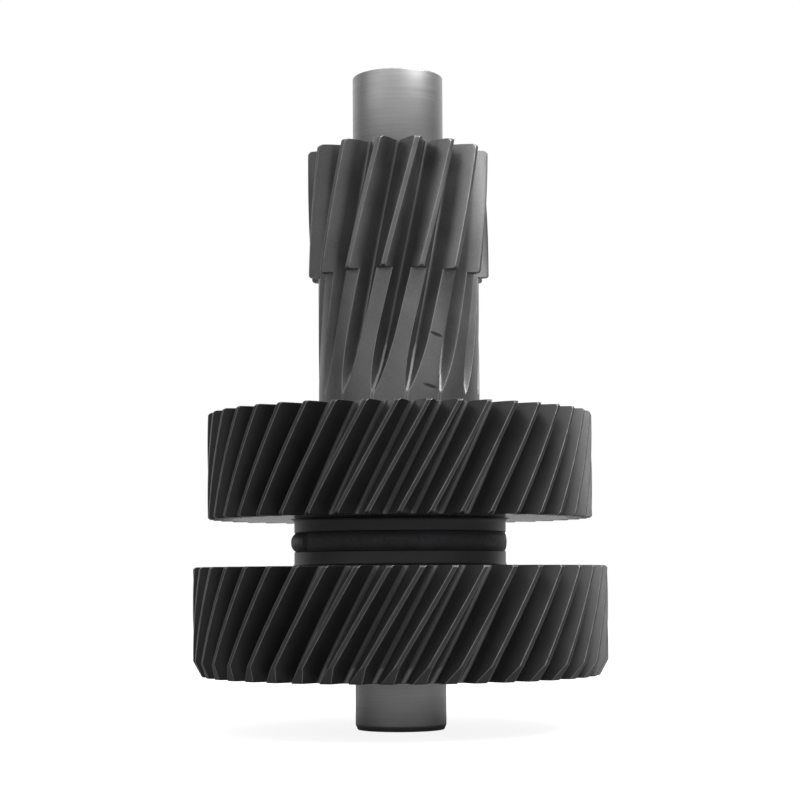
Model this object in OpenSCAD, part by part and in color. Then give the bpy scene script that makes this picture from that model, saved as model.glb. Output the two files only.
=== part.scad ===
// Gearbox countershaft. The axis is Z, the end with the wide gears is down, and the origin is the centre
// of the bottom end face. The shaft is one forging with a long helical pinion cut on it. Two helical gears
// are pressed on its seat from below, hub against hub and up to a shoulder, and a weld run joins the hubs.

/* [Shaft] */
// Diameter of the bearing journal at each end
journal_d = 45; // [38:0.5:50]
// Free length of the bottom journal below the lower gear
bottom_journal_l = 27; // [20:0.5:40]
// Free length of the top journal above the pinion
top_journal_l = 38; // [20:0.5:60]
// Axial length of the lead-in chamfer on the bottom journal
lead_chamfer_l = 2.5; // [1:0.5:5]
// Radial height of the lead-in chamfer on the bottom journal
lead_chamfer_h = 1; // [0.5:0.25:2]
// Chamfer on the end of the top journal
top_chamfer = 0.5; // [0.25:0.25:2]
// Diameter of the seat that the gears are pressed on
seat_d = 70; // [60:1:74]
// Diameter of the drill hole in the middle of each end
centre_drill_d = 6.3; // [4:0.1:8]
// Depth of the drill hole in the middle of each end
centre_drill_l = 14; // [12:1:20]
// Diameter of the 60 degree countersink round each drill hole
centre_cone_d = 13; // [9:0.5:16]

/* [Pinion] */
// Number of pinion teeth
pinion_teeth = 15; // [13:1:16]
// Diameter over the pinion tooth tips
pinion_d = 90; // [88:0.5:92]
// Diameter of the turned-down lower stretch of the pinion
pinion_neck_d = 80; // [78:0.5:84]
// Diameter at the bottom of the pinion tooth spaces
pinion_root_d = 66; // [64:0.5:69]
// Diameter of the base circle of the pinion flanks
pinion_base_d = 72; // [71:0.5:74]
// Angle of each pinion tooth space at the base circle, in degrees
pinion_space_a = 9; // [8:0.1:10]
// Rise of the pinion helix in one whole turn
pinion_lead = 1030; // [800:5:1400]
// Length of the full-diameter stretch of the pinion
pinion_tip_l = 63; // [40:1:90]
// Length of the turned-down stretch, from the shoulder to the step
pinion_neck_l = 68; // [58:1:90]
// Plain length between the shoulder and the ends of the tooth spaces
pinion_plain_l = 8; // [4:0.5:14]
// Radius of the hob, which the ends of the tooth spaces follow
hob_r = 80; // [55:1:110]
// Chamfer on the top end of the pinion teeth
pinion_chamfer = 1.2; // [0.5:0.1:3]

/* [Lower gear] */
// Number of teeth of the lower gear
lower_teeth = 43; // [39:1:46]
// Diameter over the tooth tips of the lower gear
lower_d = 205; // [198:0.5:207]
// Diameter at the bottom of the tooth spaces of the lower gear
lower_root_d = 180; // [176:0.5:184]
// Diameter of the base circle of the lower gear
lower_base_d = 182; // [180:0.5:186]
// Angle of each lower gear tooth space at the base circle, in degrees
lower_space_a = 2.5; // [2:0.05:3]
// Rise of the lower gear's helix in one whole turn
lower_lead = 1080; // [800:5:1400]
// Face width of the lower gear
lower_l = 53.5; // [35:0.5:70]
// Axial length of the long chamfer under the lower gear's teeth
lead_in_l = 7.5; // [4:0.5:10]
// Radial height of the long chamfer under the lower gear's teeth
lead_in_h = 4; // [2:0.25:6]

/* [Upper gear] */
// Number of teeth of the upper gear
upper_teeth = 41; // [37:1:44]
// Diameter over the tooth tips of the upper gear
upper_d = 190.5; // [184:0.5:193]
// Diameter at the bottom of the tooth spaces of the upper gear
upper_root_d = 166; // [162:0.5:170]
// Diameter of the base circle of the upper gear
upper_base_d = 168; // [166:0.5:172]
// Angle of each upper gear tooth space at the base circle, in degrees
upper_space_a = 2.6; // [2:0.05:3]
// Rise of the upper gear's helix in one whole turn
upper_lead = 1065; // [800:5:1400]
// Face width of the upper gear
upper_l = 52; // [35:0.5:70]

/* [Hubs and weld] */
// Diameter of the two hubs between the gears
hub_d = 105; // [98:0.5:112]
// Length of the hub on the lower gear
lower_hub_l = 12; // [9:0.5:20]
// Length of the hub on the upper gear
upper_hub_l = 11.5; // [9:0.5:20]
// Width of the groove that the weld fills
weld_w = 10; // [7:0.5:12]
// Depth of the groove that the weld fills
weld_depth = 5; // [3:0.5:6]
// Depth that the weld stays below the hubs along its two edges
weld_undercut = 0.5; // [0.25:0.05:1]
// Height of the weld above the hubs
weld_crown = 0.4; // [0.2:0.1:1]
// Extra height where the weld run ends on its own start
weld_overlap_h = 1.2; // [0.5:0.1:2]
// Angle round the axis that the end of the weld run covers, in degrees
weld_overlap_a = 40; // [20:1:60]

/* [Edges and fits] */
// Chamfer on the edges of the gear teeth
tooth_chamfer = 1; // [0.5:0.25:1.5]
// Chamfer on the edges of the gear bores and the foot of the seat
bore_chamfer = 1.5; // [0.5:0.25:2.5]
// Bevel on the lower edge of the pinion's full-diameter stretch
step_chamfer = 0.8; // [0.5:0.1:1.5]
// Diametral clearance of the gear bores on the seat, none when pressed
bore_fit = 0; // [0:0.01:0.1]

/* [Hidden] */
$fn = 180;

// Heights along the axis, from the bottom end up
lower_z = bottom_journal_l;
lower_top_z = lower_z + lower_l;
joint_z = lower_top_z + lower_hub_l;
upper_z = joint_z + upper_hub_l;
shoulder_z = upper_z + upper_l;
runout_z = shoulder_z + pinion_plain_l;
step_z = shoulder_z + pinion_neck_l;
pinion_top_z = step_z + pinion_tip_l;
shaft_l = pinion_top_z + top_journal_l;

// Radii that more than one shape uses
hub_r = hub_d / 2;
bore_r = (seat_d + bore_fit) / 2;
neck_r = pinion_neck_d / 2;

// Depth of the pinion spaces in the turned-down stretch, and the height at which the hob is fully in
neck_depth = neck_r - pinion_root_d / 2;
hob_full_z = sqrt(pow(hob_r, 2) - pow(hob_r - neck_depth, 2));

// Angle from +X of one tooth space of each piece, at the foot of its toothed stretch
pinion_phase = 275.4;
lower_phase = 270.6;
upper_phase = 274;
// Angle from +X at which the end of the weld run starts
weld_overlap_at = 170;

// Share of the space angle that is flat at the root, and height of the fillet beside it
gear_root = [0.6, 1.5];
pinion_root = [0.2, 5];

// Steps along the axis in the gears' spaces, the pinion's spaces and the pinion's run-out
gear_steps = 5;
pinion_steps = 8;
runout_steps = 5;
// Points across the crown of the weld, and share of its width that the lump on it takes
crown_steps = 10;
lump_share = 0.9;
// Reach of a cutting shape past the face or tip that it cuts
cut_over = 0.6;
// Least height of the chord that closes a tooth space above the tips
chord_clear = 0.1;
// Depth of a 118 degree drill point as a share of its radius, and of a 60 degree cone as a share of its own
drill_point = 0.6;
cone_slope = sqrt(3);

// Involute function, in degrees, at radius r for a base circle of radius base
function involute(r, base) =
    let (a = acos(min(1, base / r)))
    tan(a) * 180 / PI - a;

// Section of one tooth space as [radius, angle] pairs, round its outline. The hob has lifted it outwards by
// rise. Its flanks are involutes, and root holds the flat share and the fillet height at the bottom. The
// outline closes outside the tips with a chord, so it reaches out far enough for the chord to clear them, and
// spreads no wider out there than the angle at which the chord would dip back into them.
function space_section(tip_d, root_d, base_d, space_a, root, rings, rise) =
    let (inner = root_d / 2 + rise)
    let (fillet = inner + root[1])
    let (mouth_a = space_a / 2 + involute(tip_d / 2, base_d / 2))
    let (highest = max(tip_d / 2, fillet))
    let (outer = (highest + cut_over) / cos(mouth_a))
    let (chord_a = acos((highest + chord_clear) / outer))
    let (flank = [for (i = [0:rings - 1]) outer + (fillet - outer) * i / (rings - 1)])
    let (flank_a = [for (r = flank) space_a / 2 + involute(max(r - rise, base_d / 2), base_d / 2)])
    let (half = [for (i = [0:rings - 1]) [flank[i], min(chord_a, flank_a[i])]])
    let (side = concat(half, [[inner, root[0] * space_a / 2]]))
    concat(side, [for (i = [rings:-1:0]) [side[i][0], -side[i][1]]]);

// Rise of the space bottom at height z, on the circle that the hob leaves as it lifts out
function hob_rise(z) = z >= hob_full_z ? 0 : hob_r - sqrt(pow(hob_r, 2) - pow(hob_full_z - z, 2));

// One tooth space as a closed solid, from its section at each height of zs, turned along the helix
module tooth_space(zs, sections, lead) {
    n = len(sections[0]);
    last = len(zs) - 1;
    points = [
        for (i = [0:last])
        for (p = sections[i])
        let (a = p[1] + 360 * zs[i] / lead)
        [p[0] * cos(a), p[0] * sin(a), zs[i]]
    ];
    sides = [
        for (i = [0:last - 1])
        for (j = [0:n - 1])
        [i * n + j, (i + 1) * n + j, (i + 1) * n + (j + 1) % n, i * n + (j + 1) % n]
    ];
    bottom = [for (j = [0:n - 1]) j];
    top = [for (j = [n - 1:-1:0]) last * n + j];
    polyhedron(points, concat(sides, [bottom, top]), convexity = 4);
}

// All tooth spaces of a gear of face width l that stands on z = 0
module gear_spaces(teeth, tip_d, root_d, base_d, space_a, lead, l, phase) {
    zs = [for (i = [0:gear_steps]) -cut_over + (l + 2 * cut_over) * i / gear_steps];
    section = space_section(tip_d, root_d, base_d, space_a, gear_root, 3, 0);
    for (k = [0:teeth - 1])
        rotate([0, 0, phase + 360 * k / teeth])
            tooth_space(zs, [for (z = zs) section], lead);
}

// All tooth spaces of the pinion. They start beyond the foot of their run-out and leave through the top.
module pinion_spaces() {
    top = pinion_top_z - runout_z + cut_over;
    lift_zs = [for (i = [0:runout_steps]) -cut_over + (hob_full_z + cut_over) * i / runout_steps];
    full_zs = [for (i = [1:pinion_steps]) hob_full_z + (top - hob_full_z) * i / pinion_steps];
    zs = concat(lift_zs, full_zs);
    sections = [
        for (z = zs)
        space_section(pinion_d, pinion_root_d, pinion_base_d, pinion_space_a, pinion_root, 4, hob_rise(z))
    ];
    translate([0, 0, runout_z])
        for (k = [0:pinion_teeth - 1])
            rotate([0, 0, pinion_phase + 360 * k / pinion_teeth])
                tooth_space(zs, sections, pinion_lead);
}

// Drilled and countersunk centre in a shaft end, as points from the axis out to the end face at z = 0
function centre_hole() =
    let (drill_r = centre_drill_d / 2)
    let (cone_r = centre_cone_d / 2)
    [
        [0, centre_drill_l],
        [drill_r, centre_drill_l - drill_r * drill_point],
        [drill_r, (cone_r - drill_r) * cone_slope],
        [cone_r, 0]
    ];

// End of a shaft from its centre hole out to the full journal, as points for an end face at z = 0, with a
// chamfer of height h and length l
function shaft_end(h, l) = concat(centre_hole(), [[journal_d / 2 - h, 0], [journal_d / 2, l]]);

// Turned blank of the shaft, before its teeth are cut
module shaft_blank() {
    lower_end = shaft_end(lead_chamfer_h, lead_chamfer_l);
    end = shaft_end(top_chamfer, top_chamfer);
    upper_end = [for (i = [len(end) - 1:-1:0]) [end[i][0], shaft_l - end[i][1]]];
    steps = [
        [journal_d / 2, lower_z],
        [seat_d / 2 - bore_chamfer, lower_z],
        [seat_d / 2, lower_z + bore_chamfer],
        [seat_d / 2, shoulder_z],
        [neck_r, shoulder_z],
        [neck_r, step_z],
        [pinion_d / 2 - step_chamfer, step_z],
        [pinion_d / 2, step_z + step_chamfer],
        [pinion_d / 2, pinion_top_z - pinion_chamfer],
        [pinion_d / 2 - pinion_chamfer, pinion_top_z],
        [journal_d / 2, pinion_top_z]
    ];
    rotate_extrude()
        polygon(concat(lower_end, steps, upper_end));
}

// Turned blank of a gear that stands on z = 0 with its hub on top, with a chamfer of its own at the foot
module gear_blank(tip_d, l, hub_l, foot_h, foot_l) {
    tip_r = tip_d / 2;
    top = l + hub_l;
    rotate_extrude()
        polygon([
            [bore_r + bore_chamfer, 0],
            [tip_r - foot_h, 0],
            [tip_r, foot_l],
            [tip_r, l - tooth_chamfer],
            [tip_r - tooth_chamfer, l],
            [hub_r, l],
            [hub_r, top - weld_w / 2],
            [hub_r - weld_depth, top],
            [bore_r + bore_chamfer, top],
            [bore_r, top - bore_chamfer],
            [bore_r, bore_chamfer]
        ]);
}

// Section of the weld run about z = 0: a crown of height h over the hubs on a point sunk by depth into its
// groove. share is the part of the groove's width that it takes.
module weld_section(h, depth, share) {
    half_w = share * (1 - weld_undercut / weld_depth) * weld_w / 2;
    crown = [
        for (i = [0:crown_steps])
        let (t = 1 - 2 * i / crown_steps)
        [hub_r - weld_undercut + (h + weld_undercut) * (1 - pow(t, 2)), -t * half_w]
    ];
    polygon(concat([[hub_r - depth, 0]], crown));
}

module countershaft() {
    color([0.42, 0.42, 0.42])
        difference() {
            shaft_blank();
            pinion_spaces();
        }
}

module lower_gear() {
    color([0.2, 0.2, 0.2])
        translate([0, 0, lower_z])
            difference() {
                gear_blank(lower_d, lower_l, lower_hub_l, lead_in_h, lead_in_l);
                gear_spaces(lower_teeth, lower_d, lower_root_d, lower_base_d, lower_space_a,
                            lower_lead, lower_l, lower_phase);
            }
}

// The upper gear's blank is turned over, because its hub points down
module upper_gear() {
    color([0.22, 0.22, 0.22])
        translate([0, 0, upper_z])
            difference() {
                translate([0, 0, upper_l])
                    mirror([0, 0, 1])
                        gear_blank(upper_d, upper_l, upper_hub_l, tooth_chamfer, tooth_chamfer);
                gear_spaces(upper_teeth, upper_d, upper_root_d, upper_base_d, upper_space_a,
                            upper_lead, upper_l, upper_phase);
            }
}

// The weld fills the groove between the hubs. Where its run ends on its start, a lump stands on it.
module weld_bead() {
    color([0.15, 0.15, 0.16])
        translate([0, 0, joint_z]) {
            rotate_extrude()
                weld_section(weld_crown, weld_depth, 1);
            rotate([0, 0, weld_overlap_at])
                rotate_extrude(angle = weld_overlap_a)
                    weld_section(weld_crown + weld_overlap_h, weld_depth / 2, lump_share);
        }
}

countershaft();
lower_gear();
upper_gear();
weld_bead();
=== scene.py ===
# %% [markdown]
# # A gearbox countershaft
# The object is a forged shaft that stands on its lower bearing journal. A long helical pinion is cut on
# the shaft itself, and two wide helical gears are pressed on below it and joined by a weld run.
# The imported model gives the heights, and the other sizes are the ones that it was made from. This script
# gives the surfaces their finish, and makes the four pieces again as dense surfaces, because rounded tooth
# edges are what catches the light on a gear.

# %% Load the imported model
import math

import bmesh
import bpy
import numpy as np
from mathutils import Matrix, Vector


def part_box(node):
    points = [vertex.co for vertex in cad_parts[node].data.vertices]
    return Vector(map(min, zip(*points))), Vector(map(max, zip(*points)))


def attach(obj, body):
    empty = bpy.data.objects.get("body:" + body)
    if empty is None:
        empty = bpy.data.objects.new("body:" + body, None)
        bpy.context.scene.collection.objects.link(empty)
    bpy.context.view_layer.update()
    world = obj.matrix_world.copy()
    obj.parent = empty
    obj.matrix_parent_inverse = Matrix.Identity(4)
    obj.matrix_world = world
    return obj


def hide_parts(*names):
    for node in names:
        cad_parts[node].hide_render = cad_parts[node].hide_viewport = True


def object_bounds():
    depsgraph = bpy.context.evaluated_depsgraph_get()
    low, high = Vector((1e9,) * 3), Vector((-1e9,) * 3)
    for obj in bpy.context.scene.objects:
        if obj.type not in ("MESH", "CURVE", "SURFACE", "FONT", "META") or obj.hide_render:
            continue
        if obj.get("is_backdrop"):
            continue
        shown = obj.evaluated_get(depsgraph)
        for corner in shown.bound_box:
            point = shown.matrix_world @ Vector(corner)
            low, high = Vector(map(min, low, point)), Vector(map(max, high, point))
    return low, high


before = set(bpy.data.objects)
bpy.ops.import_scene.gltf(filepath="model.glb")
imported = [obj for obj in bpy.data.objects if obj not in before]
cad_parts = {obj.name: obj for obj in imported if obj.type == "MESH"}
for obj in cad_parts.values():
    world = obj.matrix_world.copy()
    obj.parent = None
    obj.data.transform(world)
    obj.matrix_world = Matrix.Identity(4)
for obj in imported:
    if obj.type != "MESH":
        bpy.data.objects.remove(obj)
cad_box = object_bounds()
for node in sorted(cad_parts):
    low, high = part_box(node)
    print(node, "from", [round(v, 4) for v in low], "to", [round(v, 4) for v in high])

# %% [markdown]
# ## The sizes
# All lengths are in metres and all angles in radians. The heights come from the boxes of the packed
# pieces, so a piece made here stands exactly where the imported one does. The tooth data are the ones that a
# gear drawing would give: a tooth count, the tip, root and base circles, the angle of a tooth space where
# it crosses the base circle, and the lead, which is the rise of the helix in one whole turn.

# %% Sizes from the frame and the drawing
MM = 0.001
shaft_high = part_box("countershaft")[1]
lower_low, lower_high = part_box("lower_gear")
upper_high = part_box("upper_gear")[1]

shaft_l = shaft_high[2]
lower_z = lower_low[2]
joint_z = lower_high[2]
shoulder_z = upper_high[2]
lower_l = 53.5 * MM
upper_l = 52 * MM
upper_z = shoulder_z - upper_l
pinion_plain_l = 8 * MM
pinion_neck_l = 68 * MM
pinion_tip_l = 63 * MM
runout_z = shoulder_z + pinion_plain_l
step_z = shoulder_z + pinion_neck_l
pinion_top_z = step_z + pinion_tip_l

journal_r = 22.5 * MM
seat_r = 35 * MM
hub_r = 52.5 * MM
neck_r = 40 * MM
pinion_r = 45 * MM
hob_r = 80 * MM
weld_w = 10 * MM
weld_depth = 5 * MM
bore_edge = 1.5 * MM
edge_r = 0.3 * MM


def tooth_data(teeth, tip_d, root_d, base_d, space_deg, lead, phase_deg, flat, fillet_h):
    """Tooth data in metres and radians, from millimetres and degrees."""
    return {
        "teeth": teeth,
        "tip": tip_d / 2 * MM,
        "root": root_d / 2 * MM,
        "base": base_d / 2 * MM,
        "space": math.radians(space_deg),
        "lead": lead * MM,
        "phase": math.radians(phase_deg),
        "flat": flat,
        "fillet": fillet_h * MM,
    }


pinion_teeth = tooth_data(15, 90, 66, 72, 9, 1030, 275.4, 0.2, 5)
lower_teeth = tooth_data(43, 205, 180, 182, 2.5, 1080, 270.6, 0.6, 1.5)
upper_teeth = tooth_data(41, 190.5, 166, 168, 2.6, 1065, 274, 0.6, 1.5)
print("shaft length", round(shaft_l / MM, 2), "mm, gears at", round(lower_z / MM, 2), round(upper_z / MM, 2))

# %% [markdown]
# ## One tooth space as a curve
# A hob cuts the space between two teeth. From its middle outwards the space has a nearly flat root, a
# round fillet and an involute flank, the curve that a taut string draws as it unwinds from the base
# circle. The curve could be drawn by hand with a spline, but its formula is short and gives the true form
# at any radius, so it is sampled once into a table that later steps read with np.interp.

# %% The curve of a tooth space
root_rise = 0.02 * MM
fillet_power = 1.3
past_tip = 2 * MM


def involute(r, base):
    """Involute function: the tangent of the pressure angle less the angle, whose cosine is base over r."""
    a = np.arccos(np.minimum(1.0, base / r))
    return np.tan(a) - a


def space_table(t, samples=60):
    """Half a tooth space: radius, angle from its middle, and distance along the curve, from the root out.
    The root rises by a hair from its middle, the fillet bends up to the flank as the fillet power of the
    way along it, and the flank is the involute added to half of the angle that the space has at the base
    circle. The flank runs on a little past the tip, so that a lifted space still reaches the blank."""
    half = t["space"] / 2
    s = np.linspace(0.0, 1.0, samples)
    fillet_top = t["root"] + t["fillet"]
    top_a = half + involute(max(fillet_top, t["base"]), t["base"])
    root_a = half * t["flat"] * s
    root_r = t["root"] + root_rise * s**2
    fillet_a = half * t["flat"] + (top_a - half * t["flat"]) * s
    fillet_r = t["root"] + root_rise + (t["fillet"] - root_rise) * s**fillet_power
    flank_r = fillet_top + (t["tip"] + past_tip - fillet_top) * s
    flank_a = half + involute(np.maximum(flank_r, t["base"]), t["base"])
    r = np.concatenate([root_r, fillet_r[1:], flank_r[1:]])
    a = np.concatenate([root_a, fillet_a[1:], flank_a[1:]])
    step = np.hypot(np.diff(r), np.diff(a) * r[1:])
    return {"r": r, "a": a, "w": np.concatenate([[0.0], np.cumsum(step)])}


for label, t in (("pinion", pinion_teeth), ("lower gear", lower_teeth), ("upper gear", upper_teeth)):
    curve = space_table(t)
    mouth = 2 * np.interp(t["tip"], curve["r"], curve["a"])
    print(label, "space is", round(math.degrees(mouth), 2), "degrees wide at the tips")

# %% [markdown]
# ## Columns along a pitch
# A tooth and its space repeat round the axis, and each pitch is the same on both sides of its middle, so
# only half a pitch is worked out. Its points are columns: along the flank, two at the rounded corner, and
# some across the land on top of the tooth. An array modifier could repeat a modelled tooth, but the turn
# of the helix is simpler to add to angles than to bend into a mesh.

# %% Columns of a pitch, and the pitch repeated
corner_drop = 0.3 * edge_r
ROOT_MARK, CORNER_MARK = 1, 2


def corner_columns(w_c, table, r_out, lift):
    """The last two columns of a flank: one an edge radius below the corner, and the corner itself, which
    lies a share of the edge radius below the sharp one, so that the edge reads as rounded."""
    w = np.stack([w_c - edge_r, w_c], axis=1)
    a = np.interp(w, table["w"], table["a"])
    r = np.minimum(np.interp(w, table["w"], table["r"]) + lift[:, None], r_out[:, None])
    r[:, 1] -= corner_drop
    return a, r


def flank_shares(columns):
    """Shares of the way from the middle of the root to the corner, closer together towards the corner:
    the sine of a quarter turn in even steps, without its end."""
    return np.sin(np.linspace(0.0, 1.0, columns + 1)[:-1] * math.pi / 2)


def inset_widening(a, a_corner, mid):
    """Share of an end inset that widens the space: it grows from the middle of the space to the corner,
    and is nothing on the column in the middle of the land, which the next half pitch shares."""
    nearly_mid = 0.999
    return np.clip(a / a_corner, 0, 1) * (a < mid * nearly_mid)


def mirrored_pitch(a, r, mark):
    """A whole pitch from half of one: the half turned over, then the half, without the shared columns."""
    whole_a = np.concatenate([-a[:, :0:-1], a[:, :-1]], axis=1)
    whole_r = np.concatenate([r[:, :0:-1], r[:, :-1]], axis=1)
    whole_mark = np.concatenate([mark[:, :0:-1], mark[:, :-1]], axis=1)
    return whole_a, whole_r, whole_mark


def column_marks(columns, corner):
    """Marks on the columns of half a pitch: one in the middle of the root, one on the corner of the tip."""
    mark = np.zeros(columns)
    mark[0] = ROOT_MARK
    mark[corner] = CORNER_MARK
    return mark


def round_the_axis(a, r, z, t, foot_z):
    """Rings of points: the pitch repeated round the axis, turned by the share of the lead that each height
    has climbed above the foot, and set at that height."""
    pitch = 2 * math.pi / t["teeth"]
    turn = t["phase"] + 2 * math.pi * (z - foot_z) / t["lead"]
    k = np.arange(t["teeth"]) * pitch
    angle = a[:, None, :] + k[None, :, None] + turn[:, None, None]
    radius = np.broadcast_to(r[:, None, :], angle.shape)
    height = np.broadcast_to(z[:, None, None], angle.shape)
    points = np.stack([radius * np.cos(angle), radius * np.sin(angle), height], axis=-1)
    return points.reshape(len(z), -1, 3), angle.reshape(len(z), -1)


# %% [markdown]
# ## From rings to a mesh
# Every piece here is a grid of points: rings round the axis, one above the other. Faces join each ring to
# the next. Where two rings share points, as on a step or at the axis, the points are merged, and the faces
# that shrink to a line go with them. A Bevel modifier could round the edges afterwards, but on tens of
# thousands of faces it is slow, so the rounded edges are columns and rings of the grid itself.

# %% Mesh helpers
merge_distance = 0.004 * MM
sharp_angle = math.radians(38)
CM3_PER_M3 = 1e6


def mesh_from_rings(name, rings, closed_loop, row_slots=None, marks=None):
    """A mesh object from an array of rings. Each face joins columns j and j + 1 of rings i and i + 1. With
    closed_loop the last ring joins the first. row_slots gives each row of faces its material slot. marks
    gives each point the mark of a tooth root or a tip corner, kept as the attributes root and corner."""
    n_rings, n_cols = rings.shape[:2]
    rows = np.arange(n_rings if closed_loop else n_rings - 1)
    cols = np.arange(n_cols)
    i, j = np.meshgrid(rows, cols, indexing="ij")
    below = i * n_cols
    above = ((i + 1) % n_rings) * n_cols
    right = (j + 1) % n_cols
    faces = np.stack([below + j, below + right, above + right, above + j], axis=-1).reshape(-1, 4)
    mesh = bpy.data.meshes.new(name)
    mesh.from_pydata(rings.reshape(-1, 3), [], faces)
    if row_slots is not None:
        slots = np.repeat(np.asarray(row_slots, dtype=np.int32), n_cols)
        mesh.polygons.foreach_set("material_index", slots)
    if marks is not None:
        for label, value in (("root", ROOT_MARK), ("corner", CORNER_MARK)):
            attribute = mesh.attributes.new(label, "FLOAT", "POINT")
            attribute.data.foreach_set("value", (marks.ravel() == value).astype(np.float32))
    bm = bmesh.new()
    bm.from_mesh(mesh)
    bmesh.ops.remove_doubles(bm, verts=bm.verts, dist=merge_distance)
    bm.to_mesh(mesh)
    bm.free()
    mesh.shade_smooth()
    mesh.set_sharp_from_angle(angle=sharp_angle)
    piece = bpy.data.objects.new(name, mesh)
    bpy.context.scene.collection.objects.link(piece)
    triangles = sum(len(p.vertices) - 2 for p in mesh.polygons)
    print(name, len(mesh.vertices), "points,", triangles, "triangles")
    return piece


def plain_ring(r, z, angles):
    """A ring of radius r at height z, with its points at the given angles."""
    return np.stack([r * np.cos(angles), r * np.sin(angles), np.full_like(angles, z)], axis=-1)


def outward(piece):
    """Turns the faces outwards if the volume that they enclose comes out negative."""
    bm = bmesh.new()
    bm.from_mesh(piece.data)
    if bm.calc_volume(signed=True) < 0:
        bmesh.ops.reverse_faces(bm, faces=bm.faces)
        bm.to_mesh(piece.data)
    print(piece.name, "encloses", round(abs(bm.calc_volume()) * CM3_PER_M3, 1), "cm3")
    bm.free()


# %% [markdown]
# ## The two gears
# A gear is turned first, so its tip circle has chamfers at both ends, and hobbed afterwards. The same
# order works here: at each height the turned blank gives the outer radius, and the tooth space is sampled
# from its root up to that radius. Each end of the teeth is broken by a small inset, as a brush leaves it.

# %% Half a pitch of a gear
gear_flank_columns = 12
gear_land_columns = 3


def gear_half_pitch(t, table, outer, inset):
    """Half a pitch at each height as angles and radii, for blank radii and edge insets given by height."""
    lift = -inset
    w_c = np.interp(outer - lift, table["r"], table["w"])
    w = (w_c - edge_r)[:, None] * flank_shares(gear_flank_columns)[None, :]
    a_in = np.interp(w, table["w"], table["a"])
    r_in = np.interp(w, table["w"], table["r"]) + lift[:, None]
    a_c, r_c = corner_columns(w_c, table, outer, lift)
    mid = math.pi / t["teeth"]
    first = a_c[:, 1] + edge_r / outer
    land = np.stack([first, first + edge_r / outer, np.full_like(first, mid)], axis=1)
    a = np.concatenate([a_in, a_c, land], axis=1)
    r = np.concatenate([r_in, r_c, np.repeat(outer[:, None], gear_land_columns, axis=1)], axis=1)
    a = a + (inset[:, None] / r) * inset_widening(a, a_c[:, :1], mid)
    mark = column_marks(a.shape[1], gear_flank_columns + 1)
    return np.minimum(a, mid), r, np.tile(mark, (len(outer), 1))


# %% A gear from its bore to its teeth
tooth_break = 0.25 * MM
side_inset = 1.5 * MM
hub_margin = 6 * MM
hub_fillet = 2 * MM
hub_fillet_rings = 6
side_rows = 3
foot_rings, body_rings = 7, 28
head_shares = np.array([1.0, 0.66, 0.33, 0.2, 0.0])


def gear_heights(l, foot_l, head_l):
    """Heights of a gear's rings above its foot: the break, the foot chamfer, the body and the head."""
    foot = tooth_break + (foot_l - tooth_break) * np.linspace(0, 1, foot_rings)
    body = np.linspace(foot_l + edge_r, l - head_l - edge_r, body_rings)
    return np.concatenate([[0.0], foot, body, l - head_l * head_shares])


def side_rings(t, face_z, hub_z, angles, sign):
    """Rings from the tooth roots in along a side face to the bore and its chamfer. If a hub stands on the
    face, a quarter circle leads up to it, and its end has the slanted wall of the weld groove. sign is 1
    for the head of the gear and -1 for its foot."""
    rings = [plain_ring(r, face_z, angles) for r in (t["root"] - side_inset, hub_r + hub_margin)]
    bore_z = face_z
    if hub_z:
        bore_z = hub_z
        for q in np.linspace(0, math.pi / 2, hub_fillet_rings):
            away, up = hub_fillet * (1 - math.sin(q)), hub_fillet * (1 - math.cos(q))
            rings.append(plain_ring(hub_r + away, face_z + sign * up, angles))
        rings.append(plain_ring(hub_r, hub_z - sign * weld_w / 2, angles))
        rings.append(plain_ring(hub_r - weld_depth, hub_z, angles))
    rings.append(plain_ring(seat_r + bore_edge, bore_z, angles))
    rings.append(plain_ring(seat_r, bore_z - sign * bore_edge, angles))
    return rings


def gear_piece(name, t, foot_z, l, foot_chamfer, head_chamfer, hub_foot=None, hub_head=None):
    """A helical gear: bore, side face, teeth, side face, hub and groove wall, as one closed loop of rings.
    foot_chamfer and head_chamfer are (length, height) of the turned chamfers, and hub_foot or hub_head is
    the height at which a hub ends. The two side faces take the second material slot."""
    z = gear_heights(l, foot_chamfer[0], head_chamfer[0])
    drop_foot = foot_chamfer[1] * np.clip(1 - z / foot_chamfer[0], 0, 1)
    drop_head = head_chamfer[1] * np.clip(1 - (l - z) / head_chamfer[0], 0, 1)
    inset = np.where((z < tooth_break / 2) | (z > l - tooth_break / 2), tooth_break, 0.0)
    outer = t["tip"] - drop_foot - drop_head - inset
    a, r, mark = mirrored_pitch(*gear_half_pitch(t, space_table(t), outer, inset))
    teeth, angles = round_the_axis(a, r, z + foot_z, t, foot_z)
    foot = side_rings(t, foot_z, hub_foot, angles[0], -1)
    head = side_rings(t, foot_z + l, hub_head, angles[-1], 1)
    rings = np.concatenate([np.stack(foot[::-1]), teeth, np.stack(head)])
    teeth_start, teeth_end = len(foot), len(foot) + len(z)
    slots = np.zeros(len(rings), dtype=np.int32)
    slots[teeth_start - side_rows:teeth_start] = 1
    slots[teeth_end - 1:teeth_end - 1 + side_rows] = 1
    marks = np.zeros(rings.shape[:2])
    marks[teeth_start:teeth_end] = np.tile(mark, (1, t["teeth"]))
    piece = mesh_from_rings(name, rings, closed_loop=True, row_slots=slots, marks=marks)
    outward(piece)
    return piece


lead_in = (7.5 * MM, 4 * MM)
small_chamfer = (1 * MM, 1 * MM)
lower_gear = gear_piece("wide_lower_gear", lower_teeth, lower_z, lower_l, lead_in, small_chamfer,
                        hub_head=joint_z)
upper_gear = gear_piece("upper_helical_gear", upper_teeth, upper_z, upper_l, small_chamfer, small_chamfer,
                        hub_foot=joint_z)

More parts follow.
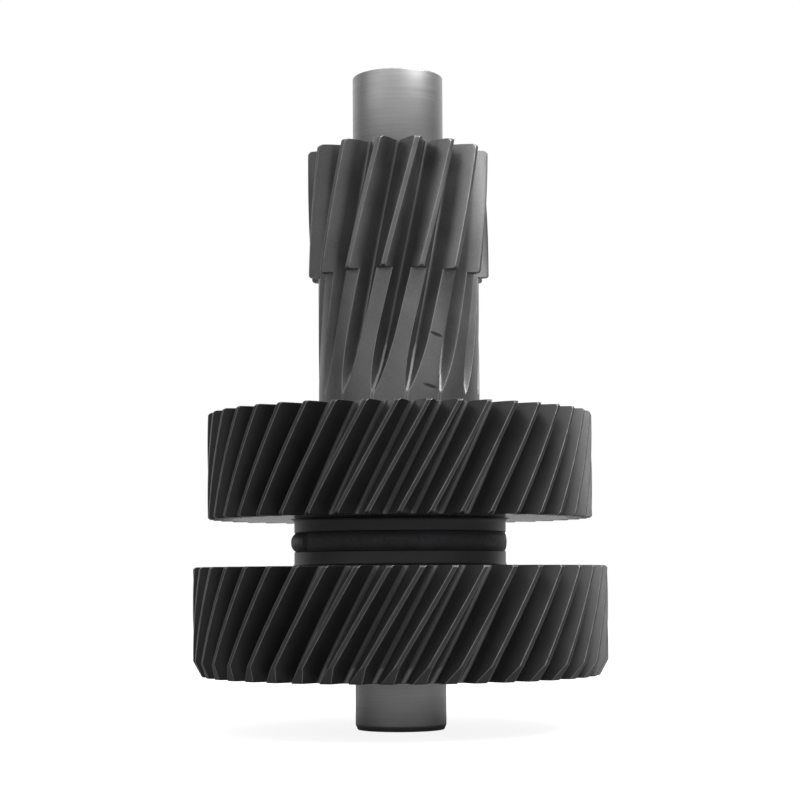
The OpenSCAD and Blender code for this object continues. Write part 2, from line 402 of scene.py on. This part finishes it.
# %% [markdown]
# ## The shaft and its pinion
# The pinion is the difficult surface. Its teeth are cut through two diameters, and near the upper gear the
# hob lifts out along its own radius, so each space gets shallower and runs out to a point. At each height
# the space curve is lifted by that arc and cut off at the blank, which draws the pointed ends by itself.
# Columns up to the neck radius stay on the flank in both stretches, so the step between the diameters is
# one clean face.

# %% Half a pitch of the pinion
pinion_flank_columns = 13
upper_flank_columns = 5
pinion_land_columns = 4
upper_flank_start = 0.15
hob_overrun = 1 * MM


def hob_rise(z):
    """Lift of the space bottom: hob radius less the root of its square less the distance below full depth."""
    depth = neck_r - pinion_teeth["root"]
    reach = math.sqrt(hob_r**2 - (hob_r - depth) ** 2)
    below = np.clip(runout_z + reach - z, 0, reach + hob_overrun)
    return hob_r - np.sqrt(hob_r**2 - below**2)


def pinion_half_pitch(z, outer, inset):
    """Half a pinion pitch at each height. outer is the blank radius there: the neck's or a larger one. In
    the taller stretch the columns past the neck radius climb the rest of the flank and cross the land, and
    in the neck the same number of columns is spread over the land alone."""
    t = pinion_teeth
    table = space_table(t)
    mid = math.pi / t["teeth"]
    lift = hob_rise(z) - inset
    neck = np.full_like(z, neck_r)
    w_c = np.maximum(np.interp(neck - lift, table["r"], table["w"]), 2 * edge_r)
    w = (w_c - edge_r)[:, None] * flank_shares(pinion_flank_columns)[None, :]
    a_in = np.interp(w, table["w"], table["a"])
    r_in = np.minimum(np.interp(w, table["w"], table["r"]) + lift[:, None], neck_r)
    a_c, r_c = corner_columns(w_c, table, neck, lift)
    tall = outer > neck_r + edge_r
    r_c[tall, 1] += corner_drop

    start = a_c[:, 1] + edge_r / neck_r
    across = np.linspace(0, 1, upper_flank_columns + pinion_land_columns)[None, :]
    spread = start[:, None] + (mid - start)[:, None] * across
    w_t = np.interp(outer - lift, table["r"], table["w"])
    climb = np.linspace(upper_flank_start, 1, upper_flank_columns)[None, :]
    w_up = w_c[:, None] + (w_t - w_c - edge_r)[:, None] * climb
    a_up = np.interp(w_up, table["w"], table["a"])
    r_up = np.interp(w_up, table["w"], table["r"]) + lift[:, None]
    a_tip = np.interp(w_t, table["w"], table["a"])
    first = a_tip + edge_r / outer
    land = np.stack([a_tip, first, first + edge_r / outer, np.full_like(first, mid)], axis=1)
    r_land = np.repeat(outer[:, None], pinion_land_columns, axis=1)
    r_land[:, 0] -= corner_drop
    a_out = np.where(tall[:, None], np.concatenate([a_up, land], axis=1), spread)
    r_out = np.where(tall[:, None], np.concatenate([r_up, r_land], axis=1), outer[:, None])

    a = np.concatenate([a_in, a_c, a_out], axis=1)
    r = np.concatenate([r_in, r_c, r_out], axis=1)
    neck_corner = pinion_flank_columns + 1
    tip_corner = neck_corner + 1 + upper_flank_columns
    tall_marks, neck_marks = (column_marks(a.shape[1], corner) for corner in (tip_corner, neck_corner))
    mark = np.where(tall[:, None], tall_marks, neck_marks)
    widened = a + inset[:, None] / r * inset_widening(a, a_c[:, :1], mid)
    return np.minimum(widened, mid), r, mark


# %% The ends of the shaft
drill_r, cone_r, drill_l = 3.15 * MM, 6.5 * MM, 14 * MM
drill_point = 0.6
cone_slope = math.sqrt(3)
soft_corner = 0.15


def end_profile(chamfer_h, chamfer_l):
    """Radius and depth of points along a shaft end: centre drill, its countersink, end face and chamfer. A
    small share of the chamfer goes to each of its corners, so that they read as rounded."""
    return [
        (0.0, drill_l),
        (drill_r, drill_l - drill_point * drill_r),
        (drill_r, (cone_r - drill_r) * cone_slope),
        (cone_r, 0.0),
        (journal_r - chamfer_h * (1 + soft_corner), 0.0),
        (journal_r - chamfer_h * (1 - soft_corner / 2), chamfer_l * soft_corner / 2),
        (journal_r - chamfer_h * soft_corner / 2, chamfer_l * (1 - soft_corner / 2)),
        (journal_r, chamfer_l * (1 + soft_corner)),
    ]


low_end = end_profile(1.0 * MM, 2.5 * MM)
high_end = [(r, shaft_l - depth) for r, depth in end_profile(0.5 * MM, 0.5 * MM)[::-1]]
print("the shaft's ends have", len(low_end), "and", len(high_end), "rings")

# %% The whole shaft
plain_below, plain_rings = 1.5 * MM, 4
neck_rings, tip_rings = 56, 40
step_bevel, end_bevel = 0.8 * MM, 1.2 * MM
end_bevel_shares = np.array([0.5, 0.15, 0.0])
pinion_break = 0.3 * MM
root_margin = 1.2 * MM
relief_depth, relief_start, relief_end = 0.35 * MM, 0.3 * MM, 2.2 * MM
relief_slope_end = 2.8 * MM
journal_margin = 1.2 * MM


def shaft_piece():
    """The shaft as one stack of rings: centre hole, journal, seat, neck, pinion, journal, centre hole. The
    two journals take the first material slot, and all between them the second."""
    plain_z = np.linspace(runout_z - plain_below, runout_z, plain_rings)[:-1]
    neck_z = np.concatenate([plain_z, np.linspace(runout_z, step_z, neck_rings)])
    tip_z = np.concatenate([
        [step_z],
        np.linspace(step_z + step_bevel, pinion_top_z - end_bevel, tip_rings),
        pinion_top_z - end_bevel * end_bevel_shares,
    ])
    z = np.concatenate([neck_z, tip_z])
    outer = np.full_like(z, neck_r)
    outer[len(neck_z):] = pinion_r
    outer[len(neck_z)] -= step_bevel
    outer -= np.clip(end_bevel - (pinion_top_z - z), 0, end_bevel)
    inset = np.zeros_like(z)
    inset[-1] = pinion_break
    outer = outer - inset
    a, r, mark = mirrored_pitch(*pinion_half_pitch(z, outer, inset))
    teeth, angles = round_the_axis(a, r, z, pinion_teeth, runout_z)
    low = low_end + [
        (journal_r, lower_z),
        (seat_r - bore_edge, lower_z),
        (seat_r, lower_z + bore_edge),
        (seat_r, shoulder_z),
        (neck_r, shoulder_z),
    ]
    pinion_face = [(pinion_teeth["root"] - root_margin, pinion_top_z)]
    high = pinion_face + [
        (journal_r + journal_margin, pinion_top_z),
        (journal_r - relief_depth, pinion_top_z + relief_start),
        (journal_r - relief_depth, pinion_top_z + relief_end),
        (journal_r, pinion_top_z + relief_slope_end),
    ] + high_end
    low_rings = np.stack([plain_ring(ring_r, ring_z, angles[0]) for ring_r, ring_z in low])
    high_rings = np.stack([plain_ring(ring_r, ring_z, angles[-1]) for ring_r, ring_z in high])
    rings = np.concatenate([low_rings, teeth, high_rings])
    slots = np.ones(len(rings) - 1, dtype=np.int32)
    slots[:len(low_end)] = 0
    slots[len(low) + len(z) + len(pinion_face):] = 0
    marks = np.zeros(rings.shape[:2])
    marks[len(low):len(low) + len(z)] = np.tile(mark, (1, pinion_teeth["teeth"]))
    piece = mesh_from_rings("pinion_shaft", rings, closed_loop=False, row_slots=slots, marks=marks)
    outward(piece)
    return piece


shaft = shaft_piece()

# %% [markdown]
# ## The weld run
# A welder, or a rotating fixture, lays one run of metal into the groove between the hubs. It cools as a row
# of small curved scales, sinks a little along both edges, and stands higher where it ends on its own
# start. The run is a grid: round the axis, and across the groove. A displaced torus could do it too, but
# its scales would need a texture that follows the run.

# %% Weld run
weld_around, weld_across = 1080, 17
undercut, weld_crown, overlap_h = 0.5 * MM, 0.4 * MM, 1.2 * MM
overlap_start, overlap_end = math.radians(170), math.radians(210)
rise_a = math.radians(3)
fall_a = rise_a / 4
scale_turns, scale_bow = 210, 2.2
scale_h, scale_mean = 0.09 * MM, 0.6
wander_h = 0.05 * MM
bulge_power = 2.6


def weld_piece():
    """The crown falls to both edges as one less the bulge power of the distance from the middle. It carries
    scales whose fronts bow with the width, a slow wander, which is the product of two sines of the angle,
    and a lump over the overlap that rises and falls along the run with a smooth step."""
    u = np.linspace(0, 2 * math.pi, weld_around, endpoint=False)[:, None]
    v = np.linspace(-1, 1, weld_across)[None, :]
    rise = np.clip((u - overlap_start) / rise_a, 0, 1) * np.clip((overlap_end - u) / fall_a, 0, 1)
    lump = overlap_h * rise**2 * (3 - 2 * rise)
    fronts = scale_turns * u - scale_bow * v**2
    scales = scale_h * (np.abs(np.sin(fronts / 2)) - scale_mean)
    wander = wander_h * np.sin(7 * u + 1.3) * np.sin(3 * u)
    bulge = 1 - np.abs(v) ** bulge_power
    r = hub_r - undercut + (weld_crown + undercut + lump) * bulge + (scales + wander) * bulge
    height = joint_z + v * weld_w / 2 * (1 - undercut / weld_depth) + 0 * u
    crown_rings = np.stack([r * np.cos(u), r * np.sin(u), height], axis=-1)
    deep_r = hub_r - weld_depth
    deep = np.concatenate([deep_r * np.cos(u), deep_r * np.sin(u), joint_z + 0 * u], axis=1)[:, None, :]
    rings = np.swapaxes(np.concatenate([deep, crown_rings], axis=1), 0, 1)
    piece = mesh_from_rings("weld_run", rings, closed_loop=True)
    outward(piece)
    return piece


weld = weld_piece()

# %% [markdown]
# ## Finishes shared by the pieces
# Three effects are shader node groups that are built once: the fine crystal grain of a phosphate coat, the
# thin rings that grinding leaves, and a patchy mask on the marks that the mesh carries, which lays on the
# rubbed tip corners and the painted highlights on the tip corners and in the roots. They read Object
# coordinates, which never slide, and give out only masks and heights. Image textures could do the same,
# but they would need a flat layout of every tooth.

# %% Node helpers
def new_group(name, inputs, outputs):
    """An empty shader group with float or colour sockets, and its input and output nodes."""
    group = bpy.data.node_groups.new(name, "ShaderNodeTree")
    for label, kind, value in inputs:
        socket = group.interface.new_socket(label, in_out="INPUT", socket_type=kind)
        socket.default_value = value
    for label, kind in outputs:
        group.interface.new_socket(label, in_out="OUTPUT", socket_type=kind)
    return group, group.nodes.new("NodeGroupInput"), group.nodes.new("NodeGroupOutput")


def link(tree, a, b):
    """Joins an output socket to an input socket."""
    tree.links.new(a, b)


def give(tree, socket, value):
    """Sets an input socket to a number, or joins an output socket to it."""
    if isinstance(value, (int, float)):
        socket.default_value = value
    else:
        link(tree, value, socket)


def math_node(tree, operation, first, second=None, third=None):
    """A Math node on up to three values, each a number or a socket. Returns its output."""
    node = tree.nodes.new("ShaderNodeMath")
    node.operation = operation
    for index, value in enumerate([first, second, third]):
        if value is not None:
            give(tree, node.inputs[index], value)
    return node.outputs[0]


def smooth_range(tree, value, low, high):
    """0 below low and 1 above high, with a smooth step between. If low is the larger, it falls instead."""
    node = tree.nodes.new("ShaderNodeMapRange")
    node.interpolation_type = "SMOOTHSTEP"
    for label, number in (("Value", value), ("From Min", low), ("From Max", high)):
        give(tree, node.inputs[label], number)
    return node.outputs[0]


def noise(tree, vector, scale, detail, rough):
    """A Noise node on the given vector. Returns its value."""
    node = tree.nodes.new("ShaderNodeTexNoise")
    node.inputs["Detail"].default_value = detail
    node.inputs["Roughness"].default_value = rough
    link(tree, vector, node.inputs["Vector"])
    give(tree, node.inputs["Scale"], scale)
    return node.outputs[0]


def object_coords(tree):
    """Object coordinates, which are the same as the part's own, because every piece sits at the origin."""
    return tree.nodes.new("ShaderNodeTexCoord").outputs["Object"]


def components(tree, vector):
    """The x, y and z of a vector, as three sockets."""
    node = tree.nodes.new("ShaderNodeSeparateXYZ")
    link(tree, vector, node.inputs[0])
    return tuple(node.outputs)


# %% Shared node groups
noise_low, noise_high = 0.3, 0.7
patch_high = 0.65


def crystal_grain():
    """Fine grain and broad clouds: two noises of different scale, each spread to the full range."""
    group, gin, gout = new_group("crystal grain", [("Fine scale", "NodeSocketFloat", 1400.0),
                                                   ("Broad scale", "NodeSocketFloat", 45.0)],
                                 [("Fine", "NodeSocketFloat"), ("Broad", "NodeSocketFloat")])
    coords = object_coords(group)
    fine = noise(group, coords, gin.outputs["Fine scale"], 4.0, 0.6)
    broad = noise(group, coords, gin.outputs["Broad scale"], 3.0, 0.5)
    link(group, smooth_range(group, fine, noise_low, noise_high), gout.inputs["Fine"])
    link(group, smooth_range(group, broad, noise_low, noise_high), gout.inputs["Broad"])
    return group


def ground_rings():
    """Thin rings round the axis: a noise whose coordinates are stretched far along the height and hardly
    across it, so that it changes quickly up the shaft and slowly round it."""
    group, gin, gout = new_group("ground rings", [("Pitch scale", "NodeSocketFloat", 1.0)],
                                 [("Lines", "NodeSocketFloat"), ("Bands", "NodeSocketFloat")])
    coords = object_coords(group)
    for label, along, across in (("Lines", 5200.0, 24.0), ("Bands", 380.0, 6.0)):
        stretch = group.nodes.new("ShaderNodeVectorMath")
        stretch.operation = "MULTIPLY"
        stretch.inputs[1].default_value = (across, across, along)
        link(group, coords, stretch.inputs[0])
        streaks = noise(group, stretch.outputs[0], gin.outputs["Pitch scale"], 2.0, 0.5)
        link(group, smooth_range(group, streaks, noise_low, noise_high), gout.inputs[label])
    return group


def mark_wear_and_highlight():
    """A mark on the mesh, broken up by a noise: low where the noise is low, full where it is high. It is the
    mask for the rubbed tip corners and for the painted highlight on the tip corners and in the roots.
    """
    group, gin, gout = new_group("mark wear", [("Mark", "NodeSocketFloat", 0.0),
                                               ("Scale", "NodeSocketFloat", 200.0),
                                               ("Least", "NodeSocketFloat", 0.5)],
                                 [("Wear and highlight", "NodeSocketFloat")])
    patches = noise(group, object_coords(group), gin.outputs["Scale"], 3.0, 0.6)
    patchy = smooth_range(group, patches, noise_low, patch_high)
    spread = math_node(group, "SUBTRACT", 1.0, gin.outputs["Least"])
    share = math_node(group, "MULTIPLY_ADD", patchy, spread, gin.outputs["Least"])
    link(group, math_node(group, "MULTIPLY", gin.outputs["Mark"], share), gout.inputs["Wear and highlight"])
    return group


grain_group = crystal_grain()
rings_group = ground_rings()
wear_and_highlight_group = mark_wear_and_highlight()
print("node groups", [g.name for g in bpy.data.node_groups])

# %% [markdown]
# ## The materials
# The journals are ground steel, the palest finish here, with faint rings. The rest of the shaft has a thin
# grey phosphate coat that still shows the metal, so the shader takes it as metal. The gears have a heavier
# coat that is nearly black and hides the metal, so they are no metal to the shader except on the tip edges
# and in the middle of the roots. On both coats the tip edges are rubbed and carry a painted highlight, which
# draws the thin bright lines along the teeth, and the middle of each root carries a painted highlight line.
# The weld is scaled and faintly blue from its heat. One plain colour for each piece would be less work, but
# steel shows how it was made mostly by small changes of gloss.

# %% Material helpers
def start_material(name):
    """A new node material with its tree and its Principled BSDF."""
    material = bpy.data.materials.new(name)
    material.use_nodes = True
    tree = material.node_tree
    shader = tree.nodes["Principled BSDF"]
    return material, tree, shader


def placed(tree, group, **values):
    """Puts a shared group into a material with its own values. An underscore stands for a space."""
    node = tree.nodes.new("ShaderNodeGroup")
    node.node_tree = group
    for label, value in values.items():
        node.inputs[label.replace("_", " ")].default_value = value
    return node


def grey(level):
    """A neutral colour: the same level of red, green and blue."""
    return (level, level, level)


def mix_colour(tree, factor, first, second):
    """A colour between two, each a tuple or a socket."""
    node = tree.nodes.new("ShaderNodeMix")
    node.data_type = "RGBA"
    link(tree, factor, node.inputs["Factor"])
    for label, value in (("A", first), ("B", second)):
        socket = next(s for s in node.inputs if s.name == label and s.type == "RGBA")
        if isinstance(value, tuple):
            socket.default_value = (*value, 1.0)
        else:
            link(tree, value, socket)
    return next(s for s in node.outputs if s.type == "RGBA")


def varied_roughness(tree, shader, mask, low, high):
    """Roughness between two values: the low one, and the difference times the mask on top of it."""
    rough = math_node(tree, "MULTIPLY_ADD", mask, high - low, low)
    link(tree, rough, shader.inputs["Roughness"])


def bump(tree, shader, height, strength, distance):
    """A Bump node between a height and the shader's normal."""
    node = tree.nodes.new("ShaderNodeBump")
    node.inputs["Strength"].default_value = strength
    node.inputs["Distance"].default_value = distance
    link(tree, height, node.inputs["Height"])
    link(tree, node.outputs[0], shader.inputs["Normal"])


# %% Ground steel of the journals
def ground_steel():
    """Pale steel: thin ring lines change its colour, roughness and height a little, and broad clouds take
    it part of the way to a darker grey."""
    material, tree, shader = start_material("ground steel")
    rings = placed(tree, rings_group, Pitch_scale=1.0)
    grain = placed(tree, grain_group, Fine_scale=900.0, Broad_scale=40.0)
    clouds = math_node(tree, "MULTIPLY", grain.outputs["Broad"], 0.4)
    lined = mix_colour(tree, rings.outputs["Lines"], grey(0.4), grey(0.47))
    link(tree, mix_colour(tree, clouds, lined, grey(0.34)), shader.inputs["Base Color"])
    varied_roughness(tree, shader, rings.outputs["Bands"], 0.4, 0.46)
    shader.inputs["Metallic"].default_value = 1.0
    bump(tree, shader, rings.outputs["Lines"], 0.25, 0.01 * MM)
    return material


journal_finish = ground_steel()
print(journal_finish.name, "has", len(journal_finish.node_tree.nodes), "nodes")


# %% Smudges on the pinion's neck
smudge_outside, smudge_inside = 1.5, 0.3


def smudge(tree, place, half_l, half_w, slant):
    """A mask for one smudge: the squares of the distances along and across it, each as a share of its half
    length or half width, added up and turned into a soft edge. It is laid on from the front, where y is
    below zero, and slant is its tilt from the horizontal."""
    x, y, z = components(tree, object_coords(tree))
    dx = math_node(tree, "SUBTRACT", x, place[0])
    dz = math_node(tree, "SUBTRACT", z, place[1])
    total = 0.0
    for along_x, along_z, half in ((math.cos(slant), math.sin(slant), half_l),
                                   (-math.sin(slant), math.cos(slant), half_w)):
        upward = math_node(tree, "MULTIPLY", dz, along_z / half)
        distance = math_node(tree, "MULTIPLY_ADD", dx, along_x / half, upward)
        total = math_node(tree, "MULTIPLY_ADD", distance, distance, total)
    front = math_node(tree, "LESS_THAN", y, 0.0)
    return math_node(tree, "MULTIPLY", smooth_range(tree, total, smudge_outside, smudge_inside), front)


neck_smudges = [
    ((18 * MM, 192 * MM), 3.2 * MM, 0.9 * MM, -0.35),
    ((15 * MM, 167 * MM), 3.6 * MM, 0.9 * MM, -0.3),
]
print(len(neck_smudges), "smudges on the neck")


# %% Phosphate coats of the pinion and the gears
coat_grain = {"Fine_scale": 1500.0, "Broad_scale": 38.0}
fine_share, broad_share = 0.45, 0.55
wear_and_highlight_scale = 220.0
least_corner_wear_and_highlight, least_root_highlight = 0.45, 0.8
smudge_strength, smudge_colour = 0.75, grey(0.02)


def marked(tree, label):
    """The value of a mark that the mesh carries."""
    node = tree.nodes.new("ShaderNodeAttribute")
    node.attribute_name = label
    return node.outputs["Fac"]


def coated_steel(name, dark, light, corner, root, metal, rough, smudges=()):
    """Coated steel: clouds and grain between two greys, a lighter colour on the tip corners, which is rubbed
    metal with a painted highlight, and another in the roots, which is a painted highlight line. Both marks
    are bare metal to the shader, and the coat is a metal to the share given. Smudges darken it."""
    material, tree, shader = start_material(name)
    grain = placed(tree, grain_group, **coat_grain)
    broad = math_node(tree, "MULTIPLY", grain.outputs["Broad"], broad_share)
    clouds = math_node(tree, "MULTIPLY_ADD", grain.outputs["Fine"], fine_share, broad)
    colour = mix_colour(tree, clouds, dark, light)
    bare_and_highlight = 0.0
    # Lighter tones on the marks: rubbed metal and a painted highlight on the tip corners, a painted highlight
    # in the roots.
    for label, tone, least in (("corner", corner, least_corner_wear_and_highlight), ("root", root, least_root_highlight)):
        wear_and_highlight = placed(tree, wear_and_highlight_group, Scale=wear_and_highlight_scale, Least=least)
        link(tree, marked(tree, label), wear_and_highlight.inputs["Mark"])
        colour = mix_colour(tree, wear_and_highlight.outputs["Wear and highlight"], colour, tone)
        bare_and_highlight = math_node(tree, "ADD", wear_and_highlight.outputs["Wear and highlight"], bare_and_highlight)
    for mark in smudges:
        spot = math_node(tree, "MULTIPLY", smudge(tree, *mark), smudge_strength)
        colour = mix_colour(tree, spot, colour, smudge_colour)
    link(tree, colour, shader.inputs["Base Color"])
    link(tree, math_node(tree, "MULTIPLY_ADD", bare_and_highlight, 1.0 - metal, metal), shader.inputs["Metallic"])
    varied_roughness(tree, shader, grain.outputs["Broad"], *rough)
    bump(tree, shader, grain.outputs["Fine"], 0.15, 0.03 * MM)
    return material


# The corner grey is rubbed metal with a painted highlight, and the root grey is a painted highlight.
pinion_finish = coated_steel("grey phosphate", dark=grey(0.14), light=grey(0.21), corner=grey(0.36),
                             root=grey(0.26), metal=1.0, rough=(0.4, 0.5), smudges=neck_smudges)
gear_finish = coated_steel("black phosphate", dark=grey(0.016), light=grey(0.026), corner=grey(0.3),
                           root=grey(0.2), metal=0.0, rough=(0.38, 0.46))
for finish in (pinion_finish, gear_finish):
    print(finish.name, "has", len(finish.node_tree.nodes), "nodes")


# %% Turned side faces of the gears, and scaled metal of the weld
def dull_coat(name, grain_scales, dark, light, rough):
    """A coat that is no metal: broad clouds between two colours, and a roughness that follows the fine
    grain. Returns the fine grain too, for a bump."""
    material, tree, shader = start_material(name)
    grain = placed(tree, grain_group, **grain_scales)
    link(tree, mix_colour(tree, grain.outputs["Broad"], dark, light), shader.inputs["Base Color"])
    varied_roughness(tree, shader, grain.outputs["Fine"], *rough)
    return material, tree, shader, grain.outputs["Fine"]


def turned_side():
    """The same black coat on a turned face, which is smoother than the hobbed teeth."""
    return dull_coat("turned side face", coat_grain, grey(0.024), grey(0.036), (0.16, 0.24))[0]


def weld_metal():
    """Dark scale with a faint blue tint in clouds, rough, with a strong fine bump."""
    material, tree, shader, fine = dull_coat("weld scale", {"Fine_scale": 700.0, "Broad_scale": 60.0},
                                             (0.02, 0.02, 0.021), (0.034, 0.033, 0.042), (0.42, 0.62))
    bump(tree, shader, fine, 0.4, 0.06 * MM)
    return material


side_finish = turned_side()
weld_finish = weld_metal()
print("finishes", [m.name for m in bpy.data.materials if m.use_nodes])

# %% [markdown]
# ## Joining the pieces to the frame
# Each surface stands for the imported node of the same form, so that node is hidden. The surface takes its
# finishes, the hidden node takes the first of them, and the slot that the record gives it is only printed.
# The object has no joints, and everything rides on its one body.

# %% Pieces, finishes and bodies
for piece, node, slot, finishes in (
    (shaft, "countershaft", "shaft_steel", [journal_finish, pinion_finish]),
    (lower_gear, "lower_gear", "gear_steel", [gear_finish, side_finish]),
    (upper_gear, "upper_gear", "gear_steel", [gear_finish, side_finish]),
    (weld, "weld_bead", "weld_metal", [weld_finish]),
):
    for finish in finishes:
        piece.data.materials.append(finish)
    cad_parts[node].data.materials.clear()
    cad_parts[node].data.materials.append(finishes[0])
    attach(piece, "root")
    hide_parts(node)
    print(piece.name, "stands for", node, "in slot", slot)

# %% [markdown]
# ## Floor, light and camera
# The shaft stands on a pale floor in front of white. Metal shows what stands round it, so the world is
# built as a studio tent seen from the shaft: brightest behind it, which gives the pale rims, less bright
# behind the camera, and dark at the sides, which gives the dark stripe beside each rim. One lamp stands
# high at the right, because a right-hand helix turns its flanks upwards on that side and downwards on
# the left, and this is what makes the teeth pale on the right and black on the left. The other two are
# weaker and soften the shadows. An image of a real studio would do as well, but it is one file more.

# %% Floor
floor_size = 5.0
floor_grey = 0.3
floor_rough = 0.9
floor_glow = 0.87


def make_floor():
    """A wide pale plane at the shaft's foot. It glows for the camera alone, so that it reads as white."""
    corners = np.array([[-1, -1, 0], [1, -1, 0], [1, 1, 0], [-1, 1, 0]]) * floor_size / 2
    mesh = bpy.data.meshes.new("floor")
    mesh.from_pydata(corners, [], [(0, 1, 2, 3)])
    floor = bpy.data.objects.new("floor", mesh)
    bpy.context.scene.collection.objects.link(floor)
    material, tree, shader = start_material("pale floor")
    shader.inputs["Base Color"].default_value = (*grey(floor_grey), 1.0)
    shader.inputs["Roughness"].default_value = floor_rough
    shader.inputs["Emission Color"].default_value = (*grey(1.0), 1.0)
    seen = tree.nodes.new("ShaderNodeLightPath").outputs["Is Camera Ray"]
    link(tree, math_node(tree, "MULTIPLY", seen, floor_glow), shader.inputs["Emission Strength"])
    floor.data.materials.append(material)
    floor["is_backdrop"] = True
    print("floor", floor_size, "m wide")


make_floor()

# %% World
tent_level = 0.2
tent_front, front_range = 0.5, (0.2, -1.0)
tent_back, back_range = 0.75, (0.3, 0.95)
tent_above, above_range = 0.1, (-0.15, 0.5)


def make_world():
    """White to the camera. To everything else, a tent: a level all round, more of it behind the camera and
    most behind the shaft, and a little more above."""
    world = bpy.data.worlds.new("tent")
    bpy.context.scene.world = world
    world.use_nodes = True
    tree = world.node_tree
    background = tree.nodes["Background"]
    _, depth, height = components(tree, tree.nodes.new("ShaderNodeTexCoord").outputs["Generated"])
    front = smooth_range(tree, depth, *front_range)
    back = smooth_range(tree, depth, *back_range)
    above = smooth_range(tree, height, *above_range)
    level = tent_level
    for side, share in ((front, tent_front), (back, tent_back), (above, tent_above)):
        level = math_node(tree, "MULTIPLY_ADD", side, share, level)
    seen = tree.nodes.new("ShaderNodeLightPath").outputs["Is Camera Ray"]
    link(tree, math_node(tree, "MAXIMUM", level, seen), background.inputs["Strength"])
    background.inputs["Color"].default_value = (*grey(1.0), 1.0)
    print("tent", tent_level + tent_back, "behind the shaft,", tent_level + tent_front, "behind the camera")


make_world()

# %% Lamps
middle = (0.0, 0.0, shaft_l / 2)


def area_lamp(name, place, target, size, watts):
    """A rectangular area lamp at a place, turned towards a target."""
    lamp = bpy.data.lights.new(name, "AREA")
    lamp.shape = "RECTANGLE"
    lamp.size, lamp.size_y = size
    lamp.energy = watts
    holder = bpy.data.objects.new(name, lamp)
    holder.location = place
    direction = np.array(target) - np.array(place)
    holder.rotation_euler = (
        math.atan2(math.hypot(direction[0], direction[1]), -direction[2]),
        0.0,
        math.atan2(direction[1], direction[0]) - math.pi / 2,
    )
    bpy.context.scene.collection.objects.link(holder)
    print(name, watts, "W at", round(float(np.linalg.norm(direction)), 2), "m")


area_lamp("right softbox", (0.75, -0.35, 1.6), middle, (1.0, 1.0), 32.0)
area_lamp("left softbox", (-1.2, -0.7, 1.2), middle, (1.4, 1.4), 3.0)
area_lamp("top softbox", (0.1, -0.3, 1.7), middle, (1.8, 1.4), 8.0)

# %% [markdown]
# The camera stands level with the lower gear. The gear's top face shows as a straight edge, the rims above
# and below it bend away from it, and the top journal is a pixel narrower in the picture than the bottom
# one, so the camera looks up a little. The rest of the way from its level to the middle of the picture is
# lens shift, as a photographer uses it to keep the shaft's sides parallel.

# %% Camera
image_w = 800
focal_px = 2011
shift_px = 100
sensor_w = 36.0
axis_distance = 1000 * MM
camera_x = -0.15 * MM
camera_z = 74.6 * MM
camera_tilt = math.radians(2.23)
camera_lean = math.radians(0.33)

camera_data = bpy.data.cameras.new("camera")
camera_data.sensor_width = sensor_w
camera_data.lens = sensor_w * focal_px / image_w
camera_data.shift_y = shift_px / image_w
camera = bpy.data.objects.new("camera", camera_data)
camera.location = (camera_x, -axis_distance, camera_z)
camera.rotation_euler = (math.pi / 2 + camera_tilt, camera_lean, 0.0)
bpy.context.scene.collection.objects.link(camera)
bpy.context.scene.camera = camera
bpy.context.scene.view_settings.view_transform = "Standard"
print("lens", round(camera_data.lens, 1), "mm, shift", camera_data.shift_y)

# %% Sizes of the imported model and of what is shown, and the end
sizes = {"cad": cad_box, "visual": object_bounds()}
sizes = {key: [[float(v) for v in corner] for corner in value] for key, value in sizes.items()}
print("size", sizes)
